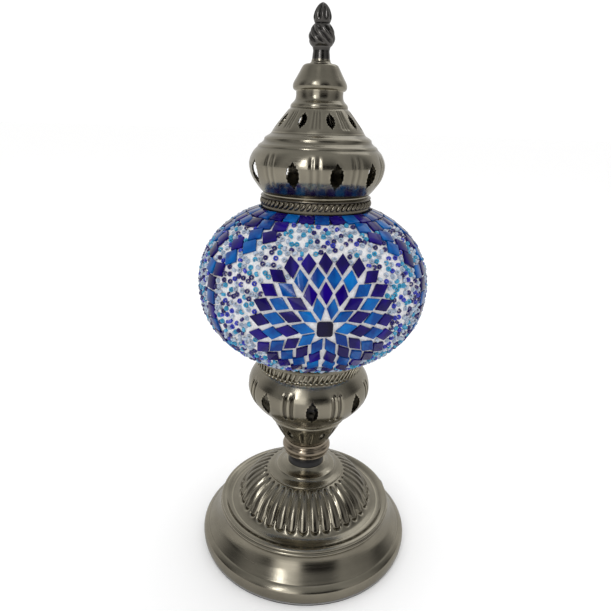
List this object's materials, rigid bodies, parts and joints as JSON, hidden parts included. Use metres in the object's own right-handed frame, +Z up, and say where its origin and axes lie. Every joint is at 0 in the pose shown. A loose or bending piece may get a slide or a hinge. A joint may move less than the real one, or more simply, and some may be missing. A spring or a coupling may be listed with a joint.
{
  "type": "mosaic table lamp",
  "caption": "Table lamp with a mosaic glass globe on a pierced metal bowl and fluted round base, under a pierced lift-off cap with a turned finial.",
  "frame": {"origin": "centre of the base on the table", "axes": "+Z up along the lamp's axis, -Y to the front, +X to the right seen from the front"},
  "size_m": [0.1406, 0.1406, 0.3296],
  "materials": {
    "antique_bronze": "brushed antique bronze",
    "gunmetal": "dark polished",
    "coppery_brass": "satin",
    "blackened_metal": "satin black",
    "steel": "zinc plated",
    "cast_iron": "rough",
    "black_rubber": "matte",
    "black_plastic": "gloss",
    "bright_brass": "bright",
    "warm_filament": "matte",
    "bulb_glass": "frosted",
    "frosted_glass": "frosted",
    "white_grout": "matte",
    "navy_glass": "gloss",
    "azure_glass": "gloss",
    "indigo_glass": "gloss"
  },
  "bodies": {
    "stand": {"base_pad": "black_rubber", "base_plate": "steel", "base_weight": "cast_iron", "base_shell": "antique_bronze", "cord_grommet": "black_rubber", "fluted_dome": "antique_bronze", "base_cup": "antique_bronze", "neck_spacer": "blackened_metal", "neck_ring": "coppery_brass", "lower_cone": "antique_bronze", "lower_bowl": "antique_bronze", "gallery": "antique_bronze", "globe_seat": "antique_bronze", "seat_gasket": "black_rubber", "threaded_tube": "steel", "tube_nuts": "steel", "tube_washers": "steel", "socket_base": "black_plastic", "socket_barrel": "black_plastic", "socket_screw_shell": "bright_brass", "socket_contact": "bright_brass"},
    "bulb": {"bulb_contact": "steel", "bulb_cap": "bright_brass", "bulb_glass": "bulb_glass", "bulb_filament": "warm_filament"},
    "globe": {"globe_glass": "frosted_glass", "globe_grout": "white_grout", "tiles_centre": "navy_glass", "tiles_azure": "azure_glass", "tiles_indigo": "indigo_glass"},
    "cap": {"cap_gasket": "black_rubber", "cap_collar": "antique_bronze", "rope_band": "antique_bronze", "cap_bulge": "antique_bronze", "cap_bell": "antique_bronze", "cap_dome": "antique_bronze", "cap_bridge": "steel", "cap_rod": "steel", "rod_nut": "steel", "cap_clips": "steel"},
    "finial": {"finial_ferrule": "gunmetal", "finial_stem": "gunmetal", "finial_bud": "antique_bronze"}
  },
  "joints": [
    {"name": "globe_lift", "type": "slide", "parent": "stand", "child": "globe", "axis": [0, 0, 1], "range_m": [0, 0.12]},
    {"name": "cap_lift", "type": "slide", "parent": "globe", "child": "cap", "axis": [0, 0, 1], "range_m": [0, 0.08]},
    {"name": "bulb_turn", "type": "hinge", "parent": "stand", "child": "bulb", "pos_m": [0, 0, 0.145], "axis": [0, 0, 1], "range_deg": [0, 1260]},
    {"name": "finial_turn", "type": "hinge", "parent": "cap", "child": "finial", "pos_m": [0, 0, 0.31], "axis": [0, 0, 1], "range_deg": [0, 1800]}
  ]
}
